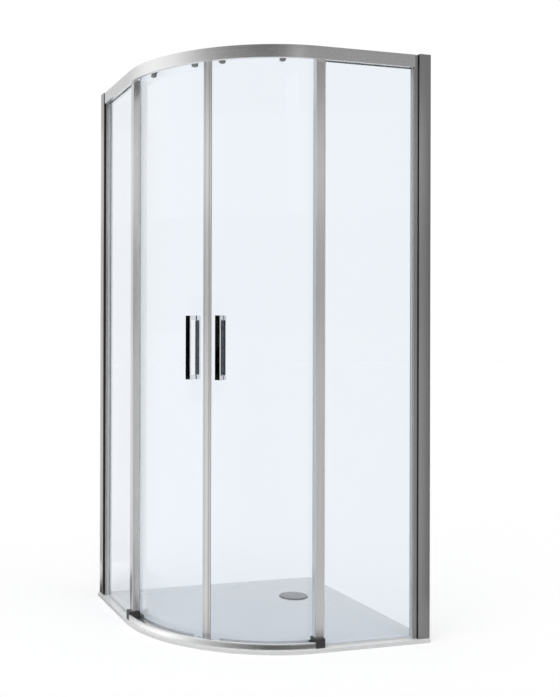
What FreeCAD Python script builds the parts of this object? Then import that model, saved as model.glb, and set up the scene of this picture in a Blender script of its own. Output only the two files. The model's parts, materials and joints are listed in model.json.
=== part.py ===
import FreeCAD, Part
import math
import os

# Quadrant shower enclosure, in millimetres.
# The origin is on the floor under the middle of the tray. +Z is up, the two room walls stand at
# x = +tray_side / 2 and y = +tray_side / 2, and the rounded front faces -X and -Y.
# An "inset" is a distance inwards from the tray's outer edge. A "reach" is a distance along a fixed
# panel from its room wall. The plan is symmetric about the line x = y, so every piece is drawn on
# the left (the -X side) and mirrored for the right.

# ---- overall ----
tray_side = 900.0
corner_radius = 500.0
tray_height = 13.0
overall_height = 1936.0

# ---- tray ----
wall_rim = 50.0
front_rim = 72.0
slope_width = 52.0
basin_depth = 6.0
basin_corner = 60.0
tray_edge_round = 2.0
outlet_to_right_wall = 187.0
outlet_to_left_wall = 241.0
outlet_bore = 90.0
outlet_recess = 112.0
recess_depth = 2.0
dish_radius = 150.0
dish_depth = 1.2

# ---- drain fittings ----
flange_thickness = 1.6
spigot_wall = 2.5
flange_clearance = 0.4
cover_diameter = 106.0
cover_thickness = 2.2
cover_crown = 1.4
cover_gap = 2.4
cover_foot_radius = 2.5
cover_foot_circle = 48.5
cover_feet = 3

# ---- wall channel and the frame profile that slides in it ----
channel_width = 42.0
channel_inset = 6.0
channel_depth = 36.0
channel_wall = 2.0
channel_bulge = 0.9
cap_thickness = 2.0
wall_hole_radius = 2.6
wall_hole_margin = 200.0
wall_hole_count = 4
frame_gap = 5.0
frame_start = 8.0
frame_head = 16.0
profile_wall = 1.8
wiper_width = 8.0
wiper_setback = 0.6

# ---- fixed glass ----
glass = 6.0
fixed_glass_inset = 24.0
gasket_side = 1.5
slot_depth = 14.0
glass_bite = 12.0
gasket_lip = 3.5
gasket_bulb = 1.6
edge_seal = 2.0
edge_seal_lip = 4.0

# ---- free edge post ----
post_width = 30.0
post_past_tangent = 7.0
post_depth = 25.0
post_drop = 1.0
post_shoulder = 3.0
hub_clearance = 1.2
post_round = 1.5

# ---- top rail ----
rail_drop = 3.0
rail_height = 42.0
rail_inset = 6.0
rail_depth = 34.0
rail_face = 2.5
rail_web = 3.0
track_depth = 14.0
track_thickness = 6.0
rail_lip = 6.0
rail_lip_wall = 1.6
rail_end_gap = 0.3
bracket_plate = 3.0
bracket_foot = 18.0
bracket_clearance = 0.3

# ---- sill and guide blocks ----
sill_inset = 7.0
sill_height = 20.0
sill_front = 10.0
sill_round = 4.0
sill_floor = 2.0
sill_back_inset = 64.0
sill_rib = 2.0
sill_rib_height = 4.0
sill_back_height = 7.0
block_past_tangent = 11.0
block_inset = 8.0
block_height = 30.0
block_back = 66.0
block_back_height = 13.0
block_round = 1.5
block_floor = 3.0

# ---- doors ----
door_inset = 50.0
door_overlap = 14.0
door_bottom_gap = 7.5
door_rise = 32.0
door_travel = 28.0
running_gap = 0.6
seat_gap = 0.1
seal_wall = 1.0
meeting_gap = 0.6
meeting_seal_width = 13.7
meeting_glass_gap = 8.0
magnet_depth = 11.0
rear_leg = 9.5
hook_thickness = 1.5
fin_offset = 8.0
fin_thickness = 1.6
fin_base = 6.0
drip_leg = 10.0
drip_base = 2.0
shoe_start = 3.2
shoe_sweep = 2.6
shoe_height = 8.5
shoe_wall = 2.5

# ---- rollers ----
front_roller_angle = 6.3
rear_roller_angle = 31.5
wheel_radius = 12.0
wheel_width = 8.5
wheel_inset = 10.6
wheel_edge = 1.2
roll_gap = 0.3
bearing_radius = 8.0
bearing_width = 5.0
axle_radius = 3.0
axle_clearance = 0.05
axle_head_radius = 5.0
axle_head = 1.1
hub_radius = 6.5
plate_width = 20.0
plate_bottom_drop = 1.0
plate_height = 31.0
plate_round = 6.0
plate_thickness = 3.0
stud_radius = 5.0
stud_clearance = 0.5
clamp_depth = 5.0
clamp_boss_radius = 8.0
clamp_boss = 4.0
key_radius = 3.5
key_depth = 5.0

# ---- handles ----
handle_angle = 6.2
handle_centre = 969.0
handle_height = 209.0
handle_width = 16.0
handle_bar = 8.0
handle_leg = 14.0
handle_outer_reach = 38.0
handle_inner_reach = 25.0
handle_round = 1.0
washer = 1.4
bolt_radius = 3.0
bolt_clearance = 0.15

# ---- small fastenings ----
cap_clearance = 0.3
screw_radius = 1.6
screw_clearance = 0.15
screw_head_radius = 3.0
screw_head = 2.2
screw_length = 24.0
lock_screw_margin = 235.0
lock_screw_count = 3
cap_radius = 7.0
cap_height = 4.5
cap_wall = 1.2
stop_length = 20.0
stop_height = 15.0

# ---- worked out from the sizes above ----
half = tray_side / 2
arc_centre = corner_radius - half
straight = tray_side - corner_radius
outlet_x = half - outlet_to_right_wall
outlet_y = half - outlet_to_left_wall
meeting_angle = 225.0
rail_top = overall_height - rail_drop
rail_bottom = rail_top - rail_height
track_top = rail_bottom + track_thickness
track_back = rail_inset + track_depth
post_inset = track_back + seat_gap
track_seat = track_top - post_drop
channel_top = overall_height - cap_thickness
channel_back = channel_inset + channel_depth
frame_inset = channel_inset + channel_wall + frame_gap
frame_back = channel_back - channel_wall - frame_gap
frame_end = channel_width + frame_head
slot_inset = fixed_glass_inset - gasket_side
slot_back = fixed_glass_inset + glass + gasket_side
post_front = straight + post_past_tangent
post_rear = post_front - post_width
post_back = post_inset + post_depth
block_front = straight + block_past_tangent
block_rear = post_rear
fin_reach = post_front - fin_offset
fixed_glass_start = frame_end - glass_bite
fixed_glass_end = post_rear + glass_bite
fixed_glass_bottom = tray_height + edge_seal
fixed_glass_top = track_seat - edge_seal - post_drop
door_outer = corner_radius - door_inset
door_inner = door_outer - glass
door_bottom = tray_height + door_bottom_gap
door_top = rail_bottom + door_rise
wheel_height = track_top + wheel_radius + roll_gap
post_top = wheel_height - hub_radius - hub_clearance
wheel_outer = corner_radius - wheel_inset
wheel_inner = wheel_outer - wheel_width
rear_edge_angle = 180.0 - math.degrees(math.asin(door_overlap / door_outer))
front_edge_angle = meeting_angle - math.degrees(meeting_glass_gap / door_outer)
handle_bottom = handle_centre - handle_height / 2
handle_top = handle_centre + handle_height / 2
basin_floor = tray_height - basin_depth
recess_floor = basin_floor - dish_depth - recess_depth
vertical = FreeCAD.Vector(0, 0, 1)

os.makedirs("parts", exist_ok=True)


# ---- helpers ----
def point(x, y, z):
    return FreeCAD.Vector(x, y, z)


def rounded_wire(corners, place):
    """Close an outline of (a, b, radius) corners, each rounded, and put it in space with place."""
    count = len(corners)
    arcs = []
    for i in range(count):
        a, b, radius = corners[i]
        corner = point(a, b, 0)
        before = point(corners[i - 1][0], corners[i - 1][1], 0) - corner
        after = point(corners[(i + 1) % count][0], corners[(i + 1) % count][1], 0) - corner
        before.normalize()
        after.normalize()
        if radius <= 0:
            arcs.append((corner, None, corner))
            continue
        half_turn = before.getAngle(after) / 2
        start = corner + before * (radius / math.tan(half_turn))
        end = corner + after * (radius / math.tan(half_turn))
        inward = before + after
        inward.normalize()
        middle = corner + inward * (radius / math.sin(half_turn) - radius)
        arcs.append((start, middle, end))
    edges = []
    for i in range(count):
        start, middle, end = arcs[i]
        if middle is not None:
            edges.append(Part.Arc(place(start), place(middle), place(end)).toShape())
        following = arcs[(i + 1) % count][0]
        if end.distanceToPoint(following) > 1e-6:
            edges.append(Part.LineSegment(place(end), place(following)).toShape())
    return Part.Wire(edges)


def square_corners(outline):
    return [(a, b, 0) for a, b in outline]


def left_plan(height):
    """Place (reach, inset) in the plan of the left fixed panel."""
    return lambda p: point(p.y - half, half - p.x, height)


def arc_start(p):
    """Place (inset, height) in the upright plane where the front's arc begins."""
    return point(p.x - half, arc_centre, p.y)


def plan_prism(corners, bottom, top, chambers=()):
    """Upright extrusion of a (reach, inset) outline, less its hollow chambers."""
    face = Part.Face(rounded_wire(corners, left_plan(bottom)))
    for chamber in chambers:
        face = face.cut(Part.Face(rounded_wire(chamber, left_plan(bottom))))
    return face.extrude(point(0, 0, top - bottom))


def rectangle(a0, a1, b0, b1, radius=0):
    return [(a0, b0, radius), (a1, b0, radius), (a1, b1, radius), (a0, b1, radius)]


def along_front(corners, reach):
    """Run an (inset, height) section along left straight, arc and right straight, to a reach."""
    face = Part.Face(rounded_wire(corners, arc_start))
    arc = face.revolve(point(arc_centre, arc_centre, 0), vertical, 90)
    left = face.extrude(point(0, straight - reach, 0))
    return left.fuse([arc, mirrored(left)]).removeSplitter()


def along_arc(corners, first, last):
    """Run a (radius, height) section about the arc's axis from one angle to another."""
    face = Part.Face(rounded_wire(corners, lambda p: point(p.x, 0, p.y)))
    return at_angle(face.revolve(point(0, 0, 0), vertical, last - first), first)


def at_angle(shape, angle):
    """Turn a shape drawn along +X of the arc's axis to its angle on the arc."""
    placed = shape.copy()
    placed.rotate(point(0, 0, 0), vertical, angle)
    placed.translate(point(arc_centre, arc_centre, 0))
    return placed


def mirrored(shape):
    return shape.mirror(point(0, 0, 0), point(1, -1, 0))


def radial_rod(radius, inner, outer, height):
    return Part.makeCylinder(radius, outer - inner, point(inner, 0, height), point(1, 0, 0))


def plan_box(reach0, reach1, inset0, inset1, bottom, top):
    return plan_prism(rectangle(reach0, reach1, inset0, inset1), bottom, top)


def upright_rod(reach, inset, radius, bottom, top):
    return Part.makeCylinder(radius, top - bottom, point(inset - half, half - reach, bottom), vertical)


def spun(corners, centre_x, centre_y):
    """Revolve a (radius, height) outline about an upright axis."""
    face = Part.Face(rounded_wire(corners, lambda p: point(p.x, 0, p.y)))
    solid = face.revolve(point(0, 0, 0), vertical, 360)
    solid.translate(point(centre_x, centre_y, 0))
    return solid


def tray_outline(wall_offset, front_offset, back_corner, height):
    low = front_offset - half
    high = half - wall_offset
    front_corner = corner_radius - front_offset
    corners = [(low, low, front_corner), (high, low, back_corner), (high, high, back_corner)]
    corners.append((low, high, back_corner))
    return rounded_wire(corners, lambda p: point(p.x, p.y, height))


def even_heights(margin, count):
    """Heights of screws spaced evenly up the enclosure, with a margin below and above."""
    step = (overall_height - 2 * margin) / (count - 1)
    return [margin + step * i for i in range(count)]


def save(name, shapes):
    solid = Part.makeCompound(shapes) if isinstance(shapes, list) else shapes
    solid.exportStep("parts/" + name + ".step")


def save_pair(name, shape):
    save("left_" + name, shape)
    save("right_" + name, mirrored(shape))


# ---- tray and drain ----
def make_tray():
    body = Part.Face(tray_outline(0, 0, tray_edge_round, 0)).extrude(point(0, 0, tray_height))
    rim_edges = [e for e in body.Edges if e.BoundBox.ZMin > tray_height - 0.01]
    body = body.makeFillet(tray_edge_round * 0.8, rim_edges)
    top = tray_outline(wall_rim, front_rim, basin_corner, tray_height)
    inner_corner = basin_corner / 2
    low = tray_outline(wall_rim + slope_width, front_rim + slope_width, inner_corner, basin_floor)
    body = body.cut(Part.makeLoft([top, low], True, True))
    above = tray_height - basin_floor
    lid = Part.Face(top).extrude(point(0, 0, above))
    body = body.cut(lid)
    dish_foot = point(outlet_x, outlet_y, basin_floor - dish_depth)
    dish = Part.makeCone(outlet_recess / 2, dish_radius, dish_depth, dish_foot)
    body = body.cut(dish)
    recess = Part.makeCylinder(outlet_recess / 2, recess_depth * 2, point(outlet_x, outlet_y, recess_floor))
    bore = Part.makeCylinder(outlet_bore / 2, tray_height, point(outlet_x, outlet_y, 0))
    return body.cut(recess).cut(bore)


def make_drain_flange():
    outer = outlet_recess / 2 - flange_clearance
    tube_outer = outlet_bore / 2 - flange_clearance
    tube_inner = tube_outer - spigot_wall
    top = recess_floor + flange_thickness
    outline = [(tube_inner, 0), (tube_outer, 0), (tube_outer, recess_floor), (outer, recess_floor), (outer, top)]
    outline.append((tube_inner, top))
    return spun(square_corners(outline), outlet_x, outlet_y)


def make_drain_cover():
    seat = recess_floor + flange_thickness
    under = seat + cover_gap
    rim = cover_diameter / 2
    top = under + cover_thickness
    crown = point(0, 0, top + cover_crown)
    sphere = (rim ** 2 + cover_crown ** 2) / (2 * cover_crown)
    rise = math.sqrt(sphere ** 2 - rim ** 2 / 4) - sphere + cover_crown
    edges = [Part.LineSegment(point(0, 0, under), point(rim, 0, under)).toShape()]
    edges.append(Part.LineSegment(point(rim, 0, under), point(rim, 0, top)).toShape())
    edges.append(Part.Arc(point(rim, 0, top), point(rim / 2, 0, top + rise), crown).toShape())
    edges.append(Part.LineSegment(crown, point(0, 0, under)).toShape())
    cover = Part.Face(Part.Wire(edges)).revolve(point(0, 0, 0), vertical, 360)
    for i in range(cover_feet):
        foot = Part.makeCylinder(cover_foot_radius, cover_gap, point(cover_foot_circle, 0, seat))
        foot.rotate(point(0, 0, 0), vertical, 360.0 / cover_feet * i)
        cover = cover.fuse(foot)
    cover.translate(point(outlet_x, outlet_y, 0))
    return cover.removeSplitter()


# ---- wall channel, frame profile and fixed glass ----
def make_wall_channel():
    """Open channel screwed to the wall; its outer face is slightly crowned."""
    inner_near = channel_inset + channel_wall
    inner_far = channel_back - channel_wall
    bulge_radius = 280.0
    corners = [(0, channel_inset, 0), (channel_width / 2, channel_inset - channel_bulge, bulge_radius)]
    corners += [(channel_width, channel_inset, 0.8), (channel_width, inner_near, 0.8), (channel_wall, inner_near, 0)]
    corners += [(channel_wall, inner_far, 0), (channel_width, inner_far, 0.8), (channel_width, channel_back, 0.8)]
    corners.append((0, channel_back, 0))
    channel = plan_prism(corners, tray_height, channel_top)
    middle = channel_inset + channel_depth / 2
    for height in even_heights(wall_hole_margin, wall_hole_count):
        start = point(middle - half, half - channel_wall * 2, height)
        channel = channel.cut(Part.makeCylinder(wall_hole_radius, channel_wall * 3, start, point(0, 1, 0)))
    for height in lock_screw_heights():
        channel = channel.cut(lock_screw_hole(height))
    return channel


def make_channel_wipers():
    """Rubber strips that close the channel's mouth on both sides of the frame profile."""
    start = channel_width - wiper_setback - wiper_width
    end = channel_width - wiper_setback
    near = plan_box(start, end, channel_inset + channel_wall, frame_inset, tray_height, channel_top)
    far = plan_box(start, end, frame_back, channel_back - channel_wall, tray_height, channel_top)
    return [near, far, mirrored(near), mirrored(far)]


def make_channel_cap():
    top = plan_prism(rectangle(0, channel_width, channel_inset, channel_back, 0.8), channel_top, overall_height)
    near = channel_inset + channel_wall + cap_clearance
    far = channel_back - channel_wall - cap_clearance
    start = channel_wall + cap_clearance
    end = frame_start - cap_clearance
    tongue = plan_box(start, end, near, far, channel_top - 6, channel_top)
    return top.fuse(tongue).removeSplitter()


def make_frame_profile():
    """Telescoping profile: a hollow neck inside the channel, a glass slot and a solid rib for the rail's screw."""
    slot_start = frame_end - slot_depth
    corners = [(frame_start, frame_inset, 0), (frame_end, frame_inset, 0.8), (frame_end, slot_inset, 0)]
    corners += [(slot_start, slot_inset, 0), (slot_start, slot_back, 0), (frame_end, slot_back, 0)]
    corners += [(frame_end, frame_back, 0.8), (frame_start, frame_back, 0)]
    neck_start = frame_start + profile_wall
    neck_end = slot_start - profile_wall
    neck = rectangle(neck_start, neck_end, frame_inset + profile_wall, frame_back - profile_wall)
    profile = plan_prism(corners, tray_height, rail_top, (neck,))
    for height in lock_screw_heights():
        profile = profile.cut(lock_screw_hole(height))
    return profile.cut(end_screw_rod(screw_radius, frame_end - screw_length / 2 - 1, frame_end + 1))


def make_fixed_glass():
    far = fixed_glass_inset + glass
    outline = rectangle(fixed_glass_start, fixed_glass_end, fixed_glass_inset, far)
    return plan_prism(outline, fixed_glass_bottom, fixed_glass_top)


def gasket_strips(mouth, direction, bottom, top):
    """Two strips, one each side of the glass, in a slot whose mouth is at a reach and opens along direction."""
    root = mouth - direction * (slot_depth - gasket_side)
    tip = mouth + direction * gasket_lip
    near = fixed_glass_inset
    far = fixed_glass_inset + glass
    strips = []
    for face, side in ((near, -1), (far, 1)):
        bulb = face + side * (gasket_side + gasket_bulb)
        corners = [(root, face, 0), (tip, face, 0), (tip, bulb, gasket_bulb * 0.8)]
        corners += [(mouth, bulb, 0), (mouth, face + side * gasket_side, 0), (root, face + side * gasket_side, 0)]
        strips.append(plan_prism(corners, bottom, top))
    return strips


def edge_seal_piece(glass_line, direction, reach_out):
    """Channel seal on a level edge of the fixed glass; direction is that of its lips, reach_out its outer side."""
    start = frame_end + gasket_lip
    end = post_rear - gasket_lip
    inner = fixed_glass_inset + glass
    base = sorted((glass_line, glass_line - direction * edge_seal))
    lip = sorted((glass_line, glass_line + direction * edge_seal_lip))
    seal = plan_box(start, end, reach_out, inner + gasket_side, *base)
    near_lip = plan_box(start, end, slot_inset, fixed_glass_inset, *lip)
    far_lip = plan_box(start, end, inner, inner + gasket_side, *lip)
    return seal.fuse([near_lip, far_lip]).removeSplitter()


# ---- free edge post ----
def make_post():
    slot_end = post_rear + slot_depth
    corners = [(post_rear, post_inset, post_round), (post_front, post_inset, post_round)]
    corners += [(post_front, post_back, post_round), (post_rear, post_back, post_round)]
    corners += [(post_rear, slot_back, 0), (slot_end, slot_back, 0), (slot_end, slot_inset, 0)]
    corners.append((post_rear, slot_inset, 0))
    inner_front = post_front - profile_wall
    inner_back = post_back - profile_wall
    chamber = rectangle(slot_end + profile_wall, inner_front, post_inset + profile_wall, inner_back)
    back_room = rectangle(post_rear + profile_wall, slot_end - profile_wall, slot_back + profile_wall, inner_back)
    post = plan_prism(corners, tray_height + block_height, post_top, (chamber, back_room))
    reach, height = post_screw_place()
    post = post.cut(post_screw_rod(screw_radius + screw_clearance, post_inset - 1, post_inset + profile_wall + 1))
    room = screw_head_radius + cap_clearance * 2
    above = post_top + 1
    notch = plan_box(reach - room, reach + room, inner_back - 1, post_back + 1, height - room, above)
    step = post_inset + post_shoulder
    shoulder = plan_box(post_rear - 1, post_front + 1, post_inset - 1, step, track_seat, above)
    return post.cut([notch, shoulder])


def make_fin_seal():
    base = rectangle(fin_reach, fin_reach + fin_base, post_back, post_back + seal_wall)
    fin = rectangle(fin_reach, fin_reach + fin_thickness, post_back + seal_wall / 2, door_inset - running_gap)
    bottom = tray_height + block_height
    top = rail_bottom - plate_bottom_drop - running_gap
    return plan_prism(base, bottom, top).fuse(plan_prism(fin, bottom, top)).removeSplitter()


# ---- top rail ----
def make_top_rail():
    """One extrusion: tall outer plate, track along its foot and a top web with a small lip."""
    back = rail_inset + rail_depth
    face = rail_inset + rail_face
    lip = back - rail_lip_wall
    ceiling = rail_top - rail_web
    corners = [(rail_inset, rail_bottom, 0.8), (track_back, rail_bottom, 0.8), (track_back, track_top, 0.8)]
    corners += [(face, track_top, 0), (face, ceiling, 0), (lip, ceiling, 0), (lip, rail_top - rail_lip, 0)]
    corners += [(back, rail_top - rail_lip, 0), (back, rail_top, 1.5), (rail_inset, rail_top, 1.5)]
    rail = along_front(corners, frame_end + rail_end_gap)
    reach, inset = foot_screw_place()
    hole = upright_rod(reach, inset, screw_radius + screw_clearance, rail_bottom - 1, track_top + 1)
    side_hole = post_screw_rod(screw_radius + screw_clearance, post_inset - screw_length / 2 - 1, post_inset + 1)
    return rail.cut([hole, mirrored(hole), side_hole, mirrored(side_hole)])


def foot_screw_place():
    """(reach, inset) of the upright screw that holds the end bracket's foot on the track."""
    foot_end = frame_end + rail_end_gap + bracket_plate + bracket_foot
    return foot_end - bracket_foot / 2, track_back - screw_head_radius - 1


def end_screw_rod(radius, reach0, reach1):
    """Level rod along the fixed panel at the place of the screw that joins bracket and frame profile."""
    inset = (frame_inset + slot_inset) / 2
    height = (track_top + rail_top - rail_web) / 2
    return Part.makeCylinder(radius, reach1 - reach0, point(inset - half, half - reach0, height), point(0, -1, 0))


def make_rail_brackets():
    """Angle inside each end of the rail: a plate against the frame profile and a foot on the track."""
    start = frame_end
    plate_end = start + rail_end_gap + bracket_plate
    near = rail_inset + rail_face + bracket_clearance
    far = rail_inset + rail_depth - rail_lip_wall - bracket_clearance
    top = rail_top - rail_web - bracket_clearance
    plate = plan_box(start, plate_end, near, far, track_top, top)
    foot = plan_box(start, plate_end + bracket_foot, near, track_back - 1, track_top, track_top + bracket_plate)
    bracket = plate.fuse(foot).removeSplitter()
    reach, inset = foot_screw_place()
    upright = upright_rod(reach, inset, screw_radius + screw_clearance, track_top - 1, track_top + bracket_plate + 1)
    level = end_screw_rod(screw_radius + screw_clearance, start - 1, plate_end + 1)
    bracket = bracket.cut([upright, level])
    return [bracket, mirrored(bracket)]


def post_screw_place():
    """(reach, height) of the level screw that holds the post against the back of the track."""
    return (post_rear + slot_depth + post_front) / 2, rail_bottom + track_thickness / 2 - 0.5


def post_screw_rod(radius, inset0, inset1):
    reach, height = post_screw_place()
    return Part.makeCylinder(radius, inset1 - inset0, point(inset0 - half, half - reach, height), point(1, 0, 0))


def make_rail_screws():
    reach, inset = foot_screw_place()
    seat = track_top + bracket_plate
    shank = upright_rod(reach, inset, screw_radius, rail_bottom + 1, seat)
    head = upright_rod(reach, inset, screw_head_radius, seat, seat + screw_head)
    foot_screw = shank.fuse(head).removeSplitter()
    plate_end = frame_end + rail_end_gap + bracket_plate
    shank = end_screw_rod(screw_radius, frame_end - screw_length / 2, plate_end)
    head = end_screw_rod(screw_head_radius, plate_end, plate_end + screw_head)
    end_screw = shank.fuse(head).removeSplitter()
    return [foot_screw, end_screw, mirrored(foot_screw), mirrored(end_screw)]


def make_post_screws():
    head_start = post_inset + profile_wall
    shank = post_screw_rod(screw_radius, post_inset - screw_length / 2, head_start)
    head = post_screw_rod(screw_head_radius, head_start, head_start + screw_head)
    screw = shank.fuse(head).removeSplitter()
    return [screw, mirrored(screw)]


def make_rail_stops():
    """Rubber buffers on the track that meet the rear rollers at the end of their travel."""
    turned = math.radians(180.0 - meeting_angle + rear_roller_angle + door_travel)
    wheel_middle = (wheel_outer + wheel_inner) / 2
    wheel_reach = straight - wheel_middle * math.sin(turned)
    half_reach = wheel_radius * math.cos(turned) + wheel_width / 2 * math.sin(turned)
    start = wheel_reach - half_reach - running_gap
    near = rail_inset + rail_face
    far = rail_inset + rail_depth - rail_lip_wall
    corners = [(start - stop_length, near, 0), (start, near, 2), (start, far, 2), (start - stop_length, far, 2)]
    stop = plan_prism(corners, track_top, track_top + stop_height)
    return [stop, mirrored(stop)]


# ---- sill and guide blocks ----
def make_sill():
    front_back = sill_inset + sill_front
    floor = tray_height + sill_floor
    crest = tray_height + sill_height
    rib_top = floor + sill_rib_height
    rib_near = shoe_insets()[0] - running_gap - sill_rib
    end = tray_height + sill_back_height
    corners = [(sill_inset, tray_height, 0), (sill_inset, crest, sill_round), (front_back, crest, sill_round)]
    rib_far = rib_near + sill_rib
    back_near = sill_back_inset - sill_rib
    corners += [(front_back, floor, 1), (rib_near, floor, 0), (rib_near, rib_top, 0.6), (rib_far, rib_top, 0.6)]
    corners += [(rib_far, floor, 0), (back_near, floor, 0)]
    corners += [(back_near, end, 0.6), (sill_back_inset, end, 0.6), (sill_back_inset, tray_height, 0)]
    face = Part.Face(rounded_wire(corners, arc_start))
    sill = face.revolve(point(arc_centre, arc_centre, 0), vertical, 90)
    clear = plan_box(0, block_front + seat_gap, -1, block_back + sill_back_inset, 0, overall_height)
    return sill.cut([clear, mirrored(clear)])


def make_guide_block():
    floor = tray_height + block_floor
    top = tray_height + block_height
    corners = rectangle(block_rear, block_front, block_inset, block_back, block_round)
    block = plan_prism(corners, tray_height, top)
    block = block.makeFillet(block_round * 0.6, [e for e in block.Edges if e.BoundBox.ZMin > top - 0.01])
    play = seal_wall + seat_gap + running_gap
    slot_end = door_inset + glass + play + seat_gap * 4
    slot = plan_box(0, block_front + 1, door_inset - play, slot_end, floor, top + 1)
    low_back = tray_height + block_back_height
    over_back = plan_box(0, block_front + 1, slot_end - 1, block_back + 1, low_back, top + 1)
    side = gasket_side + seat_gap
    pocket_end = fixed_glass_end + running_gap
    pocket_near = fixed_glass_inset - side
    pocket_far = fixed_glass_inset + glass + side
    glass_slot = plan_box(0, pocket_end, pocket_near, pocket_far, tray_height - 1, top + 1)
    return block.cut([slot, over_back, glass_slot])


# ---- channel lock screws ----
def lock_screw_heights():
    return even_heights(lock_screw_margin, lock_screw_count)


def lock_screw_rod(radius, inset0, inset1, height):
    start = point(inset0 - half, half - channel_width / 2, height)
    return Part.makeCylinder(radius, inset1 - inset0, start, point(1, 0, 0))


def lock_screw_hole(height):
    return lock_screw_rod(screw_radius + screw_clearance, frame_back - profile_wall * 2, channel_back + 1, height)


def make_lock_screws():
    screws = []
    for height in lock_screw_heights():
        shank = lock_screw_rod(screw_radius, frame_back - profile_wall * 1.5, channel_back, height)
        head = lock_screw_rod(screw_head_radius, channel_back, channel_back + screw_head, height)
        screw = shank.fuse(head).removeSplitter()
        screws += [screw, mirrored(screw)]
    return screws


def make_screw_caps():
    caps = []
    for height in lock_screw_heights():
        shell = lock_screw_rod(cap_radius, channel_back, channel_back + cap_height, height)
        outer_rim = [e for e in shell.Edges if e.BoundBox.XMin > channel_back + cap_height - half - 0.01]
        shell = shell.makeFillet(cap_height * 0.5, outer_rim)
        ceiling = channel_back + cap_height - cap_wall
        hollow = lock_screw_rod(cap_radius - cap_wall * 2, channel_back - 1, ceiling, height)
        cap = shell.cut(hollow)
        caps += [cap, mirrored(cap)]
    return caps


# ---- doors ----
def door_hole(radius, angle, height):
    return at_angle(radial_rod(radius, door_inner - 5, door_outer + 5, height), angle)


def make_door_glass():
    panel = arc_bar(door_inner, door_outer, door_bottom, door_top, rear_edge_angle, front_edge_angle)
    holes = [door_hole(stud_radius + stud_clearance, angle, wheel_height) for angle in roller_angles()]
    for height in handle_bolt_heights():
        holes.append(door_hole(bolt_radius + stud_clearance, meeting_angle - handle_angle, height))
    return panel.cut(holes)


def arc_bar(inner, outer, bottom, top, first, last):
    return along_arc(rectangle(inner, outer, bottom, top), first, last)


def degrees_of(length):
    return math.degrees(length / door_outer)


def make_meeting_seal():
    """Clear clip on the door's front edge with the magnet tube that meets the other door."""
    outer = door_outer + seat_gap
    inner = door_inner - seat_gap
    bottom = door_bottom
    front = meeting_angle - degrees_of(meeting_gap / 2)
    back = meeting_angle - degrees_of(meeting_seal_width)
    web = front_edge_angle + degrees_of(seat_gap)
    middle = (door_outer + door_inner) / 2
    reach = magnet_depth / 2
    tube = arc_bar(middle - reach, middle + reach, bottom, door_top, web, front)
    outer_leg = arc_bar(outer, outer + seal_wall, bottom, door_top, back, web)
    inner_leg = arc_bar(inner - seal_wall, inner, bottom, door_top, back, web)
    return tube.fuse([outer_leg, inner_leg]).removeSplitter()


def make_rear_seal():
    outer = door_outer + seat_gap
    inner = door_inner - seat_gap
    bottom = door_bottom + shoe_height
    front = rear_edge_angle + degrees_of(rear_leg)
    back = rear_edge_angle - degrees_of(seat_gap + seal_wall)
    web = rear_edge_angle - degrees_of(seat_gap)
    hook_tip = corner_radius - post_back - running_gap
    hook_foot = tray_height + block_height + running_gap
    hook_back = front - degrees_of(hook_thickness)
    hook = arc_bar(outer + seal_wall / 2, hook_tip, hook_foot, door_top, hook_back, front)
    outer_leg = arc_bar(outer, outer + seal_wall, bottom, door_top, web, front)
    inner_leg = arc_bar(inner - seal_wall, inner, bottom, door_top, web, front)
    closing = arc_bar(inner - seal_wall, outer + seal_wall, bottom, door_top, back, web)
    return closing.fuse([outer_leg, inner_leg, hook]).removeSplitter()


def make_drip_seal():
    outer = door_outer + seat_gap
    inner = door_inner - seat_gap
    low = door_bottom - seat_gap - drip_base
    high = low + drip_leg
    outline = [(inner - seal_wall, low), (outer + seal_wall, low), (outer + seal_wall, high), (outer, high)]
    outline += [(outer, door_bottom - seat_gap), (inner, door_bottom - seat_gap), (inner, high)]
    outline.append((inner - seal_wall, high))
    last = meeting_angle - shoe_start - shoe_sweep - degrees_of(seat_gap * 3)
    return along_arc(square_corners(outline), rear_edge_angle, last)


def shoe_insets():
    """Insets of the two sides of the guide shoe's foot."""
    play = seat_gap + shoe_wall
    return door_inset - play, door_inset + glass + play


def make_guide_shoe():
    near, far = shoe_insets()
    outer = corner_radius - near
    inner = corner_radius - far
    low = tray_height + sill_floor + running_gap
    high = low + shoe_height
    floor = door_bottom - seat_gap
    outline = [(inner, low, 0.5), (outer, low, 0.5), (outer, high, 1.2)]
    outline += [(door_outer + seat_gap, high, 0), (door_outer + seat_gap, floor, 0)]
    outline += [(door_inner - seat_gap, floor, 0), (door_inner - seat_gap, high, 0), (inner, high, 1.2)]
    last = meeting_angle - shoe_start
    return along_arc(outline, last - shoe_sweep, last)


# ---- rollers ----
def roller_angles():
    return meeting_angle - front_roller_angle, meeting_angle - rear_roller_angle


def make_wheel():
    """Plastic tyre with a shallow running groove, on its bearing."""
    middle = (wheel_outer + wheel_inner) / 2
    tyre = radial_rod(wheel_radius, wheel_inner, wheel_outer, wheel_height)
    tyre = tyre.makeFillet(wheel_edge, [e for e in tyre.Edges if e.Closed and e.Length > wheel_radius * 6])
    seat = radial_rod(bearing_radius, wheel_inner - 1, wheel_outer + 1, wheel_height)
    return tyre.cut(seat).fuse(wheel_web(middle)).removeSplitter()


def wheel_web(middle):
    ring = radial_rod(bearing_radius + 0.5, wheel_inner, middle - bearing_width / 2, wheel_height)
    return ring.cut(radial_rod(bearing_radius - 1.5, wheel_inner - 1, wheel_outer, wheel_height))


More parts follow.
